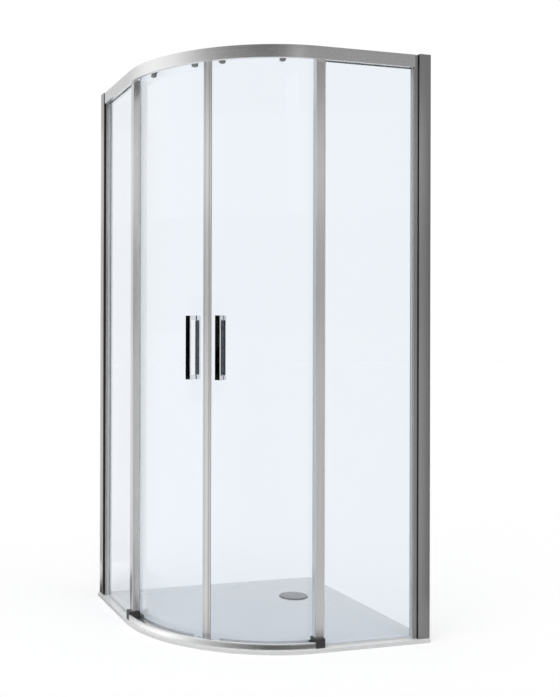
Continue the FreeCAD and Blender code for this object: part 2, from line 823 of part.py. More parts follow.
def make_bearing():
    middle = (wheel_outer + wheel_inner) / 2
    near = middle - bearing_width / 2
    far = middle + bearing_width / 2
    ring = radial_rod(bearing_radius - seat_gap / 2, near, far, wheel_height)
    ring = ring.cut(radial_rod(axle_radius + axle_clearance, near - 1, far + 1, wheel_height))
    groove = radial_rod(bearing_radius - 1.6, far - 0.6, far + 1, wheel_height)
    groove = groove.cut(radial_rod(axle_radius + 1.6, far - 1, far + 2, wheel_height))
    return ring.cut(groove)


def make_axle():
    head_inner = wheel_outer + running_gap
    shank = radial_rod(axle_radius, wheel_inner - running_gap, head_inner, wheel_height)
    head = radial_rod(axle_head_radius, head_inner, head_inner + axle_head, wheel_height)
    return shank.fuse(head).removeSplitter()


def hanger_plate(near, far):
    """Upright plate with rounded ends, as tall as the hanger, between two distances from the arc's axis."""
    bottom = rail_bottom - plate_bottom_drop
    outline = rectangle(-plate_width / 2, plate_width / 2, bottom, bottom + plate_height, plate_round)
    return Part.Face(rounded_wire(outline, lambda p: point(near, p.x, p.y))).extrude(point(far - near, 0, 0))


def make_carrier():
    """Hanger on the outer face of the glass: plate, stud through the glass and hub that carries the axle."""
    plate_outer = door_outer + seat_gap + plate_thickness
    plate = hanger_plate(door_outer + seat_gap, plate_outer)
    plate = plate.makeFillet(1.0, [e for e in plate.Edges if e.BoundBox.XMin > plate_outer - 0.01])
    hub = radial_rod(hub_radius, plate_outer, wheel_inner - running_gap, wheel_height)
    stud = radial_rod(stud_radius, door_inner - seat_gap, door_outer + seat_gap, wheel_height)
    return plate.fuse([hub, stud]).removeSplitter()


def make_clamp():
    """Plate on the inner face of the glass with a round boss and the key socket that tightens it."""
    sag = (plate_width / 2) ** 2 / (2 * door_inner)
    face = door_inner - sag - seat_gap
    back = face - clamp_depth
    plate = hanger_plate(back, face)
    plate = plate.makeFillet(1.5, [e for e in plate.Edges if e.BoundBox.XMax < back + 0.01])
    boss = radial_rod(clamp_boss_radius, back - clamp_boss, back, wheel_height)
    boss = boss.makeFillet(1.0, [e for e in boss.Edges if e.BoundBox.XMax < back - clamp_boss + 0.01])
    corners = []
    for i in range(6):
        turn = math.radians(60 * i)
        corners.append((key_radius * math.cos(turn), key_radius * math.sin(turn) + wheel_height, 0))
    socket_start = back - clamp_boss
    wire = rounded_wire(corners, lambda p: point(socket_start - 1, p.x, p.y))
    socket = Part.Face(wire).extrude(point(key_depth + 1, 0, 0))
    return plate.fuse(boss).removeSplitter().cut(socket)


# ---- handles ----
def handle_bolt_heights():
    return handle_bottom + handle_leg / 2, handle_top - handle_leg / 2


def handle_side(glass_face, reach):
    """Upright bar with a leg at each end; reach is negative on the inner side of the glass."""
    direction = 1 if reach > 0 else -1
    foot = glass_face + direction * (washer + seat_gap * 2)
    back = glass_face + reach
    inside = back - direction * handle_bar
    corners = [(foot, handle_bottom, 0), (back, handle_bottom, handle_round), (back, handle_top, handle_round)]
    corners += [(foot, handle_top, 0), (foot, handle_top - handle_leg, 0), (inside, handle_top - handle_leg, 1.5)]
    corners += [(inside, handle_bottom + handle_leg, 1.5), (foot, handle_bottom + handle_leg, 0)]
    wire = rounded_wire(corners, lambda p: point(p.x, -handle_width / 2, p.y))
    side = Part.Face(wire).extrude(point(0, handle_width, 0))
    low, high = min(foot, inside), max(foot, inside)
    bores = [radial_rod(bolt_radius + bolt_clearance, low - 1, high, z) for z in handle_bolt_heights()]
    return side.cut(bores)


def make_handle_washers():
    pads = []
    for height in handle_bolt_heights():
        for start in (door_outer + seat_gap, door_inner - seat_gap * 2 - washer):
            size = min(handle_width, handle_leg)
            pad = Part.makeBox(washer, size, handle_leg)
            pad.translate(point(start, -size / 2, height - handle_leg / 2))
            pads.append(pad.cut(radial_rod(bolt_radius + bolt_clearance, start - 1, start + washer + 1, height)))
    return pads


def make_handle_bolts():
    outer_end = door_outer + handle_outer_reach - handle_bar
    inner_end = door_inner - handle_inner_reach + handle_bar
    return [radial_rod(bolt_radius, inner_end + 1, outer_end - 1, z) for z in handle_bolt_heights()]


# ---- write every piece ----
save("shower_tray", make_tray())
save("drain_flange", make_drain_flange())
save("drain_cover", make_drain_cover())

save_pair("wall_channel", make_wall_channel())
channel_cap = make_channel_cap()
save("channel_caps", [channel_cap, mirrored(channel_cap)])
save("channel_wipers", make_channel_wipers())
save_pair("frame_profile", make_frame_profile())
save_pair("fixed_glass", make_fixed_glass())
wall_strips = gasket_strips(frame_end, 1, tray_height, rail_bottom)
save("wall_gaskets", wall_strips + [mirrored(s) for s in wall_strips])
post_strips = gasket_strips(post_rear, -1, tray_height + block_height, fixed_glass_top)
save("post_gaskets", post_strips + [mirrored(s) for s in post_strips])
base_seal = edge_seal_piece(fixed_glass_bottom, 1, slot_inset)
save("base_seals", [base_seal, mirrored(base_seal)])
head_seal = edge_seal_piece(fixed_glass_top, -1, track_back)
save("head_seals", [head_seal, mirrored(head_seal)])
save_pair("edge_post", make_post())
fin_seal = make_fin_seal()
save("fin_seals", [fin_seal, mirrored(fin_seal)])

save("top_rail", make_top_rail())
save("rail_brackets", make_rail_brackets())
save("rail_screws", make_rail_screws())
save("post_screws", make_post_screws())
save("rail_stops", make_rail_stops())
save("curved_sill", make_sill())
save_pair("guide_block", make_guide_block())
save("lock_screws", make_lock_screws())
save("screw_caps", make_screw_caps())

save_pair("door_glass", make_door_glass())
save_pair("meeting_seal", make_meeting_seal())
save_pair("rear_seal", make_rear_seal())
save_pair("drip_seal", make_drip_seal())
save_pair("guide_shoe", make_guide_shoe())

front_angle, rear_angle = roller_angles()
for place, angle in (("front", front_angle), ("rear", rear_angle)):
    save_pair(place + "_wheel", at_angle(make_wheel(), angle))
    save_pair(place + "_bearing", at_angle(make_bearing(), angle))
for name, piece in (("carriers", make_carrier()), ("axles", make_axle()), ("clamps", make_clamp())):
    both = [at_angle(piece, angle) for angle in roller_angles()]
    save_pair("roller_" + name, Part.makeCompound(both))

handle_at = meeting_angle - handle_angle
save_pair("handle_outer", at_angle(handle_side(door_outer, handle_outer_reach), handle_at))
save_pair("handle_inner", at_angle(handle_side(door_inner, -handle_inner_reach), handle_at))
save_pair("handle_washers", at_angle(Part.makeCompound(make_handle_washers()), handle_at))
save_pair("handle_bolts", at_angle(Part.makeCompound(make_handle_bolts()), handle_at))
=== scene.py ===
import json
import math

import bpy
from mathutils import Matrix, Vector


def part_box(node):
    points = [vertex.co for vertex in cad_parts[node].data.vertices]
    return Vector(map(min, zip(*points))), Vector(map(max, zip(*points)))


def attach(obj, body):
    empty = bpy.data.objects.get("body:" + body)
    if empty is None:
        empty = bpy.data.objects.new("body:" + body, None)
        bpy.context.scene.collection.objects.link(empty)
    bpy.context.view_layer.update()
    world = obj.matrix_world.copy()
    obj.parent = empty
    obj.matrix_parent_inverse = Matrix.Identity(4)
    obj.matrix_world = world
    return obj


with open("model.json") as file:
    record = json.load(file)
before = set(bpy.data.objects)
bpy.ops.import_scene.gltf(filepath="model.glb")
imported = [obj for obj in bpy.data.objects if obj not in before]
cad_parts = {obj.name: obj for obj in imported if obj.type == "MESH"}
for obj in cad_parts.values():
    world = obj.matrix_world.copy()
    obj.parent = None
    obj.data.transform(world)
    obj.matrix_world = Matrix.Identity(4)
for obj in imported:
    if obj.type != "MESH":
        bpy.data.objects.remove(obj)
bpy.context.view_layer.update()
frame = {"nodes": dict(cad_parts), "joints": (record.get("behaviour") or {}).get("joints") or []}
nodes = frame["nodes"]
joints = {joint["name"]: joint for joint in frame["joints"]}
curveCentre = tuple(joints["left_door_slide"]["pos_m"][:2])  # axis of the rounded front, seen from above
scene = bpy.context.scene
scene.view_settings.view_transform = "Standard"
print("frame loaded:", len(nodes), "nodes")


# camera first, so that everything else is judged through it
camera = {
    "focalPixels": 1034.57,
    "imageSize": (560, 697),
    "centre": (150.0, 330.22),  # pixel that the lens axis meets
    "place": (-1.42812, -3.43676, 1.01667),
    "yaw": 0.29585,  # radians, from +Y towards +X
    "pitch": 0.00245,
    "roll": 0.00284,
    "filmHeight": 36.0,  # mm
    "farthest": 60.0,
}


def makeCamera(c):
    width, height = c["imageSize"]
    lens = bpy.data.cameras.new("studioCamera")
    lens.sensor_width = c["filmHeight"]
    lens.lens = c["focalPixels"] / height * c["filmHeight"]
    lens.shift_x = (width / 2 - c["centre"][0]) / height
    lens.shift_y = (c["centre"][1] - height / 2) / height
    lens.clip_end = c["farthest"]
    level = math.cos(c["pitch"])
    look = Vector((math.sin(c["yaw"]) * level, math.cos(c["yaw"]) * level, math.sin(c["pitch"])))
    side = Vector((math.cos(c["yaw"]), -math.sin(c["yaw"]), 0.0))
    up = side.cross(look)
    right = side * math.cos(c["roll"]) + up * math.sin(c["roll"])
    upright = up * math.cos(c["roll"]) - side * math.sin(c["roll"])
    body = bpy.data.objects.new("studioCamera", lens)
    body.matrix_world = Matrix((
        (right.x, upright.x, -look.x, c["place"][0]),
        (right.y, upright.y, -look.y, c["place"][1]),
        (right.z, upright.z, -look.z, c["place"][2]),
        (0, 0, 0, 1),
    ))
    scene.collection.objects.link(body)
    scene.camera = body


makeCamera(camera)
print("camera placed")


# small node helpers; a value is either a plain number or another node's socket
def wire(tree, value, socket):
    if isinstance(value, bpy.types.NodeSocket):
        tree.links.new(value, socket)
    else:
        socket.default_value = value


def putNode(tree, kind, settings=None, **inputs):
    node = tree.nodes.new(kind)
    for key, value in (settings or {}).items():
        setattr(node, key, value)
    for key, value in inputs.items():
        wire(tree, value, node.inputs[key])
    return node


def mathNode(tree, operation, first, second=0.0):
    node = putNode(tree, "ShaderNodeMath", {"operation": operation})
    wire(tree, first, node.inputs[0])
    wire(tree, second, node.inputs[1])
    return node.outputs[0]


def plus(tree, first, second):
    return mathNode(tree, "ADD", first, second)


def minus(tree, first, second):
    return mathNode(tree, "SUBTRACT", first, second)


def times(tree, first, second):
    return mathNode(tree, "MULTIPLY", first, second)


def vectorNode(tree, operation, first, second=None):
    node = putNode(tree, "ShaderNodeVectorMath", {"operation": operation})
    wire(tree, first, node.inputs[0])
    if second is not None:
        wire(tree, second, node.inputs[1])
    return node.outputs["Value" if operation == "DOT_PRODUCT" else "Vector"]


def remap(tree, value, fromLow, fromHigh, toLow, toHigh):
    node = putNode(tree, "ShaderNodeMapRange", Value=value)
    ends = {"From Min": fromLow, "From Max": fromHigh, "To Min": toLow, "To Max": toHigh}
    for name, number in ends.items():
        node.inputs[name].default_value = number
    return node.outputs["Result"]


def noise(tree, place, size, detail, **more):
    return putNode(tree, "ShaderNodeTexNoise", Vector=place, Scale=size, Detail=detail, **more).outputs["Fac"]


def mixShaders(tree, share, first, second):
    node = tree.nodes.new("ShaderNodeMixShader")
    for socket, value in zip(node.inputs, (share, first.outputs[0], second.outputs[0])):
        tree.links.new(value, socket)
    return node.outputs[0]


def newGroup(name, inputs, outputs):
    group = bpy.data.node_groups.new(name, "ShaderNodeTree")
    for label, kind in inputs:
        group.interface.new_socket(label, in_out="INPUT", socket_type="NodeSocket" + kind)
    for label, kind in outputs:
        group.interface.new_socket(label, in_out="OUTPUT", socket_type="NodeSocket" + kind)
    return group, group.nodes.new("NodeGroupInput").outputs, group.nodes.new("NodeGroupOutput").inputs


def useGroup(tree, group, **inputs):
    return putNode(tree, "ShaderNodeGroup", {"node_tree": group}, **inputs).outputs


def newMaterial(name):
    material = bpy.data.materials.new(name)
    material.use_nodes = True
    tree = material.node_tree
    tree.nodes.clear()
    return material, tree, tree.nodes.new("ShaderNodeOutputMaterial").inputs["Surface"]


def newFinish(name):
    material, tree, surface = newMaterial(name)
    shader = tree.nodes.new("ShaderNodeBsdfPrincipled")
    tree.links.new(shader.outputs[0], surface)
    place = tree.nodes.new("ShaderNodeTexCoord").outputs["Object"]
    return material, tree, shader, place


def colourBy(tree, shader, mask, low, high):
    mix = putNode(tree, "ShaderNodeMix", {"data_type": "RGBA"})
    colours = [socket for socket in mix.inputs if socket.type == "RGBA"]
    wire(tree, mask, mix.inputs[0])
    for socket, colour in zip(colours, (low, high)):
        socket.default_value = (*colour, 1.0)
    result = [socket for socket in mix.outputs if socket.type == "RGBA"][0]
    tree.links.new(result, shader.inputs["Base Color"])


def roughBy(tree, shader, mask, reach, roughness):
    # the roughness runs over its own pair while the mask runs over its reach
    tree.links.new(remap(tree, mask, *reach, *roughness), shader.inputs["Roughness"])


def bump(tree, shader, height, strength, distance):
    node = putNode(tree, "ShaderNodeBump", Height=height, Strength=strength, Distance=distance)
    tree.links.new(node.outputs["Normal"], shader.inputs["Normal"])


# effects shared by several finishes
grainMix = {"fineDetail": 3.0, "fineRoughness": 0.7, "fineShare": 0.65, "broadSize": 0.13, "broadDetail": 2.0}
smearMix = {"detail": 4.0, "distortion": 0.6, "reach": (0.35, 0.7)}
seamRadius = 0.45  # metres of Along for each radian round the front


def buildDrawnGrain(g):
    # fine lines along a profile: Stretch is small along it and large across it
    wanted = [("Place", "Vector"), ("Stretch", "Vector"), ("Contrast", "Float")]
    group, start, end = newGroup("drawnGrain", wanted, [("Lines", "Float"), ("Height", "Float")])
    place = vectorNode(group, "MULTIPLY", start["Place"], start["Stretch"])
    fine = noise(group, place, 1.0, g["fineDetail"], Roughness=g["fineRoughness"])
    broad = noise(group, place, g["broadSize"], g["broadDetail"])
    both = plus(group, times(group, fine, g["fineShare"]), times(group, broad, 1.0 - g["fineShare"]))
    lines = plus(group, times(group, minus(group, both, 0.5), start["Contrast"]), 0.5)
    group.links.new(lines, end["Lines"])
    group.links.new(fine, end["Height"])
    return group


def buildHandling(h):
    # soft smears that hands and dried water leave
    group, start, end = newGroup("handling", [("Place", "Vector"), ("Size", "Float")], [("Smears", "Float")])
    smear = noise(group, start["Place"], start["Size"], h["detail"], Distortion=h["distortion"])
    group.links.new(remap(group, smear, *h["reach"], 0.0, 1.0), end["Smears"])
    return group


def buildRoundFront(centre, radius):
    # Along grows round the front curve; Wrapped lays the curve out straight, with its radius as Y
    given = [("Along", "Float"), ("Wrapped", "Vector")]
    group, start, end = newGroup("roundFront", [("Place", "Vector")], given)
    part = putNode(group, "ShaderNodeSeparateXYZ", Vector=start["Place"]).outputs
    x = minus(group, part["X"], centre[0])
    y = minus(group, part["Y"], centre[1])
    out = mathNode(group, "SQRT", plus(group, times(group, x, x), times(group, y, y)))
    turn = mathNode(group, "ARCTAN2", times(group, y, -1.0), times(group, x, -1.0))
    along = times(group, turn, radius)
    wrapped = putNode(group, "ShaderNodeCombineXYZ", X=along, Y=out, Z=part["Z"])
    group.links.new(along, end["Along"])
    group.links.new(wrapped.outputs[0], end["Wrapped"])
    return group


drawnGrain = buildDrawnGrain(grainMix)
handling = buildHandling(smearMix)
roundFront = buildRoundFront(curveCentre, seamRadius)
print("shared effects built")


# satin metal, drawn along its profile; level scales the colour of each profile
satin = {
    "straightStretch": (900.0, 900.0, 5.0),
    "curvedStretch": (9.0, 900.0, 900.0),
    "contrast": 0.9,
    "dark": (0.86, 0.86, 0.865),
    "light": (1.1, 1.1, 1.1),
    "smearSize": 6.0,
    "smearShare": 0.25,
    "roughReach": (0.2, 1.0),
    "bump": (0.06, 0.0002),
    "kinds": {
        # the channel's lower level is painted shade: the same metal as the posts, drawn darker
        "shadedSatinChannel": {"curved": False, "level": 0.54, "roughness": (0.16, 0.26)},
        "satinPost": {"curved": False, "level": 0.88, "roughness": (0.18, 0.28)},
        "satinCurve": {"curved": True, "level": 0.90, "roughness": (0.20, 0.32)},
    },
}


def satinMetal(name, kind, s):
    material, tree, shader, place = newFinish(name)
    run = useGroup(tree, roundFront, Place=place)["Wrapped"] if kind["curved"] else place
    stretch = s["curvedStretch" if kind["curved"] else "straightStretch"]
    grain = useGroup(tree, drawnGrain, Place=run, Stretch=stretch, Contrast=s["contrast"])
    smears = useGroup(tree, handling, Place=place, Size=s["smearSize"])["Smears"]
    # the level darkens the whole colour, which for the channel is painted shade
    dark = [part * kind["level"] for part in s["dark"]]
    light = [part * kind["level"] for part in s["light"]]
    colourBy(tree, shader, grain["Lines"], dark, light)
    worn = plus(tree, grain["Lines"], times(tree, smears, s["smearShare"]))
    roughBy(tree, shader, worn, s["roughReach"], kind["roughness"])
    shader.inputs["Metallic"].default_value = 1.0
    bump(tree, shader, grain["Height"], *s["bump"])
    return material


# clear glass whose cut edges are greener and softer than its faces
glass = {
    "face": (0.862, 0.905, 0.956),
    "edge": (0.62, 0.76, 0.76),
    "edgeReach": (0.4, 0.8),  # 1 is a face square to the way through the pane
    "edgeRoughness": 0.25,
    "ior": 1.45,
    "specular": 0.5,
    "passing": (0.93, 0.955, 0.985, 1),  # tint of the light that lands behind the pane
    "throughWays": {"clearGlassLeft": (1, 0, 0), "clearGlassRight": (0, 1, 0), "clearGlassCurved": None},
}


def clearGlass(name, through, g):
    # through is the way through a flat pane; a curved pane's is level and away from the curve's axis
    material, tree, surface = newMaterial(name)
    shader = tree.nodes.new("ShaderNodeBsdfPrincipled")
    if through is None:
        place = tree.nodes.new("ShaderNodeTexCoord").outputs["Object"]
        out = vectorNode(tree, "SUBTRACT", place, (*curveCentre, 0.0))
        through = vectorNode(tree, "NORMALIZE", vectorNode(tree, "MULTIPLY", out, (1, 1, 0)))
    normal = tree.nodes.new("ShaderNodeNewGeometry").outputs["True Normal"]
    square = mathNode(tree, "ABSOLUTE", vectorNode(tree, "DOT_PRODUCT", normal, through))
    edge = remap(tree, square, *g["edgeReach"], 1.0, 0.0)
    colourBy(tree, shader, edge, g["face"], g["edge"])
    tree.links.new(times(tree, edge, g["edgeRoughness"]), shader.inputs["Roughness"])
    shader.inputs["Transmission Weight"].default_value = 1.0
    shader.inputs["IOR"].default_value = g["ior"]
    shader.inputs["Specular IOR Level"].default_value = g["specular"]
    path = tree.nodes.new("ShaderNodeLightPath").outputs
    soft = mathNode(tree, "MAXIMUM", path["Is Shadow Ray"], path["Is Diffuse Ray"])
    passing = putNode(tree, "ShaderNodeBsdfTransparent", Color=g["passing"])
    tree.links.new(mixShaders(tree, soft, shader, passing), surface)
    return material


# glossy white tray moulding
acrylic = {
    "dark": (0.865, 0.870, 0.870),
    "light": (0.90, 0.905, 0.905),
    "cloudSize": 2.2,
    "cloudDetail": 3.0,
    "smearSize": 4.0,
    "roughness": (0.16, 0.26),
    "coat": 0.35,
    "coatRoughness": 0.06,
    "peelSize": 260.0,
    "peelDetail": 2.0,
    "bump": (0.05, 0.0004),
}


def trayAcrylic(name, a):
    material, tree, shader, place = newFinish(name)
    colourBy(tree, shader, noise(tree, place, a["cloudSize"], a["cloudDetail"]), a["dark"], a["light"])
    smears = useGroup(tree, handling, Place=place, Size=a["smearSize"])["Smears"]
    roughBy(tree, shader, smears, (0.0, 1.0), a["roughness"])
    shader.inputs["Coat Weight"].default_value = a["coat"]
    shader.inputs["Coat Roughness"].default_value = a["coatRoughness"]
    bump(tree, shader, noise(tree, place, a["peelSize"], a["peelDetail"]), *a["bump"])
    return material


# plating of the handles
chrome = {
    "clean": (0.80, 0.81, 0.82),
    "smeared": (0.72, 0.73, 0.745),
    "smearSize": 22.0,
    "roughness": (0.03, 0.09),
    "waveSize": 30.0,
    "waveDetail": 1.0,
    "bump": (0.04, 0.0006),
}


def polishedChrome(name, c):
    material, tree, shader, place = newFinish(name)
    smears = useGroup(tree, handling, Place=place, Size=c["smearSize"])["Smears"]
    colourBy(tree, shader, smears, c["clean"], c["smeared"])
    roughBy(tree, shader, smears, (0.0, 1.0), c["roughness"])
    shader.inputs["Metallic"].default_value = 1.0
    bump(tree, shader, noise(tree, place, c["waveSize"], c["waveDetail"]), *c["bump"])
    return material


# waste cover, spun, with fine rings round its own centre
spun = {
    "stretch": (2600.0, 1.0, 60.0),
    "contrast": 0.8,
    "dark": (0.265, 0.275, 0.285),
    "light": (0.36, 0.37, 0.38),
    "roughReach": (0.2, 0.9),
    "roughness": (0.18, 0.30),
    "bump": (0.10, 0.0002),
}


def spunMetal(name, node, s):
    material, tree, shader, place = newFinish(name)
    low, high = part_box(node)
    middle = ((low[0] + high[0]) / 2, (low[1] + high[1]) / 2, 0.0)
    part = putNode(tree, "ShaderNodeSeparateXYZ", Vector=vectorNode(tree, "SUBTRACT", place, middle)).outputs
    square = plus(tree, times(tree, part["X"], part["X"]), times(tree, part["Y"], part["Y"]))
    ring = putNode(tree, "ShaderNodeCombineXYZ", X=mathNode(tree, "SQRT", square), Y=0.0, Z=part["Z"])
    grain = useGroup(tree, drawnGrain, Place=ring.outputs[0], Stretch=s["stretch"], Contrast=s["contrast"])
    colourBy(tree, shader, grain["Lines"], s["dark"], s["light"])
    roughBy(tree, shader, grain["Lines"], s["roughReach"], s["roughness"])
    shader.inputs["Metallic"].default_value = 1.0
    bump(tree, shader, grain["Height"], *s["bump"])
    return material


# bearings, axles, brackets and screws
steel = {
    "stretch": (700.0, 700.0, 700.0),
    "contrast": 0.7,
    "dark": (0.42, 0.42, 0.43),
    "light": (0.60, 0.60, 0.61),
    "roughReach": (0.2, 0.9),
    "roughness": (0.2, 0.34),
}


def turnedSteel(name, s):
    material, tree, shader, place = newFinish(name)
    lines = useGroup(tree, drawnGrain, Place=place, Stretch=s["stretch"], Contrast=s["contrast"])["Lines"]
    colourBy(tree, shader, lines, s["dark"], s["light"])
    roughBy(tree, shader, lines, s["roughReach"], s["roughness"])
    shader.inputs["Metallic"].default_value = 1.0
    return material


# opaque mouldings; a kind that names a value of its own overrules the usual one
moulded = {
    "sparkSize": 900.0,
    "sparkDetail": 2.0,
    "sparkReach": (0.3, 0.7),
    "roughBelow": 0.06,
    "roughAbove": 0.08,
    "smearSize": 18.0,
    "bump": (0.25, 0.0003),
    "kinds": {
        "darkBlock": {"dark": (0.046, 0.046, 0.047), "light": (0.070, 0.070, 0.072), "roughness": 0.42},
        "greyCap": {"dark": (0.24, 0.24, 0.245), "light": (0.32, 0.32, 0.325), "roughness": 0.38},
        "wastePlastic": {"dark": (0.34, 0.345, 0.35), "light": (0.44, 0.445, 0.45), "roughness": 0.45},
        "blackRubber": {
            "dark": (0.016, 0.016, 0.017), "light": (0.030, 0.030, 0.031), "roughness": 0.62,
            "sparkSize": 1400.0, "bump": (0.35, 0.0003),
        },
        "nylonTyre": {
            "dark": (0.70, 0.70, 0.67), "light": (0.78, 0.78, 0.75), "roughness": 0.34,
            "sparkSize": 700.0, "bump": (0.12, 0.0003),
        },
    },
}


def mouldedPlastic(name, kind, usual):
    m = {**usual, **kind}
    material, tree, shader, place = newFinish(name)
    spark = noise(tree, place, m["sparkSize"], m["sparkDetail"])
    smears = useGroup(tree, handling, Place=place, Size=m["smearSize"])["Smears"]
    colourBy(tree, shader, smears, m["dark"], m["light"])
    roughness = (m["roughness"] - m["roughBelow"], m["roughness"] + m["roughAbove"])
    roughBy(tree, shader, spark, m["sparkReach"], roughness)
    bump(tree, shader, spark, *m["bump"])
    return material


# grey paint of the roller hangers
hangerPaint = {
    "dark": (0.34, 0.34, 0.345),
    "light": (0.43, 0.43, 0.435),
    "smearSize": 30.0,
    "peelSize": 420.0,
    "peelDetail": 2.0,
    "peelReach": (0.3, 0.7),
    "roughness": (0.24, 0.36),
    "metal": 0.4,
    "bump": (0.12, 0.0003),
}


def paintedHanger(name, h):
    material, tree, shader, place = newFinish(name)
    peel = noise(tree, place, h["peelSize"], h["peelDetail"])
    smears = useGroup(tree, handling, Place=place, Size=h["smearSize"])["Smears"]
    colourBy(tree, shader, smears, h["dark"], h["light"])
    roughBy(tree, shader, peel, h["peelReach"], h["roughness"])
    shader.inputs["Metallic"].default_value = h["metal"]
    bump(tree, shader, peel, *h["bump"])
    return material


# milky flexible plastic; where two seals meet, a pale line is painted as a highlight, with painted shade for
# a groove on each side of it
milky = {
    "stretch": (400.0, 400.0, 3.0),
    "contrast": 0.8,
    "meeting": math.pi / 4 * seamRadius,  # where the doors meet, in roundFront's Along
    "line": (0.0012, 0.0030),  # distance from the meeting over which the painted highlight fades
    "grooveShadeStart": (0.0055, 0.0068),
    "grooveShadeEnd": (0.0086, 0.0100),
    "lineGain": 0.6,
    "ground": 0.45,
    "grooveShadeLoss": 0.45,
    "darkest": 0.86,  # share of the tint that the dark side keeps, less some where the painted stripes of highlight and shade show
    "paintedStripeDark": 0.3,
    "roughReach": (0.2, 0.8),
    "ior": 1.4,
    "bump": (0.08, 0.0003),
    "kinds": {
        "meetingSeal": {
            "tint": (0.97, 0.97, 0.97), "roughness": (0.14, 0.24),
            "paintedStripes": 0.8, "clear": 0.1, "metal": 0.45,
        },
        "whiteGasket": {
            "tint": (0.93, 0.94, 0.94), "roughness": (0.24, 0.34),
            "paintedStripes": 0.1, "clear": 0.1, "metal": 0.0,
        },
        "sealLip": {
            "tint": (0.98, 0.985, 0.99), "roughness": (0.04, 0.10),
            "paintedStripes": 0.1, "clear": 0.9, "metal": 0.0,
        },
    },
}


def milkySeal(name, kind, m):
    material, tree, shader, place = newFinish(name)
    streak = useGroup(tree, drawnGrain, Place=place, Stretch=m["stretch"], Contrast=m["contrast"])
    along = useGroup(tree, roundFront, Place=place)["Along"]
    # along the meeting a highlight is painted, with painted shade in a groove on each side
    away = mathNode(tree, "ABSOLUTE", minus(tree, along, m["meeting"]))
    line = remap(tree, away, *m["line"], 1.0, 0.0)
    grooveShadeRise = remap(tree, away, *m["grooveShadeStart"], 0.0, 1.0)
    grooveShadeFall = remap(tree, away, *m["grooveShadeEnd"], 1.0, 0.0)
    grooveShade = times(tree, grooveShadeRise, grooveShadeFall)
    highlighted = plus(tree, times(tree, line, m["lineGain"]), m["ground"])
    paintedLightStripes = minus(tree, highlighted, times(tree, grooveShade, m["grooveShadeLoss"]))
    plain = times(tree, streak["Lines"], 1.0 - kind["paintedStripes"])
    shade = plus(tree, times(tree, paintedLightStripes, kind["paintedStripes"]), plain)
    kept = m["darkest"] - m["paintedStripeDark"] * kind["paintedStripes"]
    colourBy(tree, shader, shade, [part * kept for part in kind["tint"]], kind["tint"])
    roughBy(tree, shader, streak["Lines"], m["roughReach"], kind["roughness"])
    shader.inputs["Transmission Weight"].default_value = kind["clear"]
    shader.inputs["Metallic"].default_value = kind["metal"]
    shader.inputs["IOR"].default_value = m["ior"]
    bump(tree, shader, streak["Height"], *m["bump"])
    return material


finishes = {
    "whiteAcrylic": trayAcrylic("whiteAcrylic", acrylic),
    "polishedChrome": polishedChrome("polishedChrome", chrome),
    "spunCover": spunMetal("spunCover", "drain_cover", spun),
    "turnedSteel": turnedSteel("turnedSteel", steel),
    "darkHanger": paintedHanger("darkHanger", hangerPaint),
}
for name, through in glass["throughWays"].items():
    finishes[name] = clearGlass(name, through, glass)
for maker, values in ((satinMetal, satin), (mouldedPlastic, moulded), (milkySeal, milky)):
    for name, kind in values["kinds"].items():
        finishes[name] = maker(name, kind, values)
print("finishes made:", len(finishes))


# which pieces wear which finish; a name without left_ or right_ stands for both pieces
wornBy = {
    "shadedSatinChannel": ("wall_channel", "frame_profile"),
    "satinPost": ("edge_post",),
    "satinCurve": ("top_rail", "curved_sill"),
    "clearGlassLeft": ("left_fixed_glass",),
    "clearGlassRight": ("right_fixed_glass",),
    "clearGlassCurved": ("door_glass",),
    "whiteAcrylic": ("shower_tray",),
    "polishedChrome": ("handle_outer", "handle_inner"),
    "spunCover": ("drain_cover",),
    "turnedSteel": ("front_bearing", "rear_bearing", "roller_axles", "handle_bolts", "rail_screws",
                    "post_screws", "lock_screws", "rail_brackets"),
    "darkBlock": ("guide_block",),
    "greyCap": ("channel_caps", "screw_caps"),
    "wastePlastic": ("drain_flange",),
    "blackRubber": ("rail_stops", "channel_wipers", "handle_washers"),
    "nylonTyre": ("front_wheel", "rear_wheel"),
    "darkHanger": ("roller_carriers", "roller_clamps"),
    "meetingSeal": ("meeting_seal",),
    "whiteGasket": ("wall_gaskets", "post_gaskets", "base_seals", "guide_shoe"),
    "sealLip": ("rear_seal", "drip_seal", "head_seals", "fin_seals"),
}


def layFinishes(table):
    finishOf = {piece: finishes[finish] for finish, pieces in table.items() for piece in pieces}
    for name, piece in nodes.items():
        plain = name.removeprefix("left_").removeprefix("right_")
        piece.data.materials.clear()
        piece.data.materials.append(finishOf[name if name in finishOf else plain])


layFinishes(wornBy)
print("finishes laid on the frame")


# balls that show in the open face of each bearing
bearing = {
    "count": 9,
    "ballRadius": 0.00085,
    "ringRadius": 0.0055,
    "faceOut": 0.0019,  # how far the balls lie outwards of the wheel's middle
    "ballSides": 10,
    "ballBands": 7,
}


